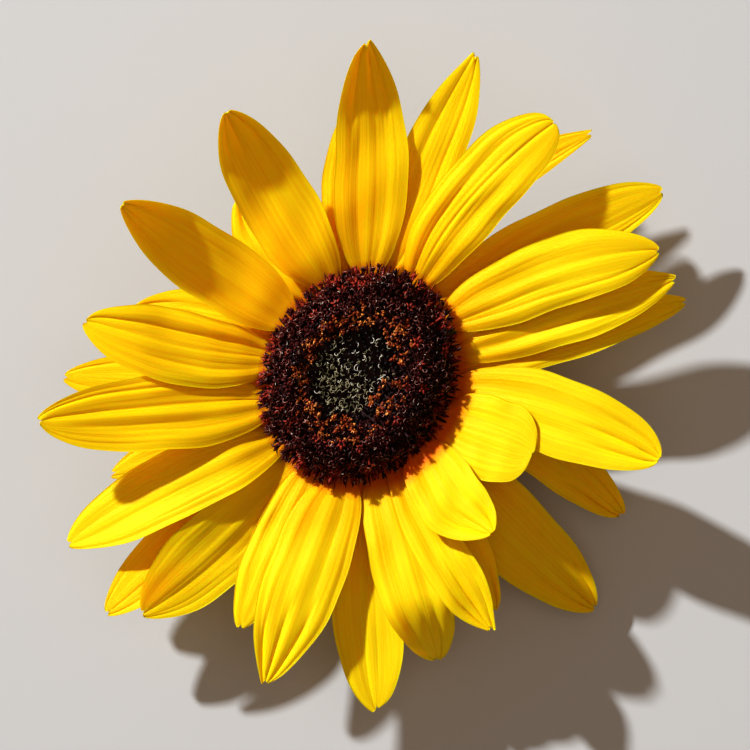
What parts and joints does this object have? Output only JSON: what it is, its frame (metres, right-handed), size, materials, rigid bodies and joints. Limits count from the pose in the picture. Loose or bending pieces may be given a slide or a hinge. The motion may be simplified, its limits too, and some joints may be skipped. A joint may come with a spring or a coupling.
{
  "type": "cut sunflower head",
  "caption": "Cut sunflower head lying face up: a dark spiky disc in a ring of broad yellow ray petals, green bracts beneath and a short stem stub.",
  "frame": {"origin": "centre of the flat cut under the stem stub", "axes": "+Z out of the bloom's face, away from the cut; +Y towards the bloom's top in the picture, +X to its right"},
  "size_m": [0.1486, 0.154, 0.0443],
  "materials": {
    "front_petals": "soft satin yellow with lengthwise ridges",
    "back_petals": "soft satin golden yellow with lengthwise ridges",
    "dark_florets": "matt maroon, spiky",
    "rust_florets": "matt rust brown, spiky",
    "eye_florets": "matt grey-green, curled",
    "bract_green": "matt leaf green, finely hairy",
    "stem": "matt light green, ribbed and hairy"
  },
  "bodies": {
    "root": {"stem_stub": "stem", "receptacle": "bract_green", "outer_bract_01": "bract_green", "outer_bract_02": "bract_green", "outer_bract_03": "bract_green", "outer_bract_04": "bract_green", "outer_bract_05": "bract_green", "outer_bract_06": "bract_green", "outer_bract_07": "bract_green", "outer_bract_08": "bract_green", "outer_bract_09": "bract_green", "outer_bract_10": "bract_green", "outer_bract_11": "bract_green", "outer_bract_12": "bract_green", "outer_bract_13": "bract_green", "outer_bract_14": "bract_green", "outer_bract_15": "bract_green", "outer_bract_16": "bract_green", "outer_bract_17": "bract_green", "outer_bract_18": "bract_green", "outer_bract_19": "bract_green", "outer_bract_20": "bract_green", "outer_bract_21": "bract_green", "inner_bracts": "bract_green", "ray_petal_01": "front_petals", "ray_petal_02": "front_petals", "ray_petal_03": "front_petals", "ray_petal_04": "back_petals", "ray_petal_05": "front_petals", "ray_petal_06": "front_petals", "ray_petal_07": "front_petals", "ray_petal_08": "front_petals", "ray_petal_09": "front_petals", "ray_petal_10": "front_petals", "ray_petal_11": "back_petals", "ray_petal_12": "back_petals", "ray_petal_13": "front_petals", "ray_petal_14": "front_petals", "ray_petal_15": "front_petals", "ray_petal_16": "front_petals", "ray_petal_17": "front_petals", "ray_petal_18": "front_petals", "ray_petal_19": "front_petals", "ray_petal_20": "front_petals", "ray_petal_21": "back_petals", "ray_petal_22": "front_petals", "ray_petal_23": "back_petals", "ray_petal_24": "front_petals", "ray_petal_25": "back_petals", "ray_petal_26": "front_petals", "ray_petal_27": "back_petals", "ray_petal_28": "front_petals", "ray_petal_29": "back_petals", "ray_petal_30": "front_petals", "ray_petal_31": "back_petals", "disc_florets_outer": "dark_florets", "disc_florets_middle": "rust_florets", "disc_florets_eye": "eye_florets"}
  },
  "joints": []
}
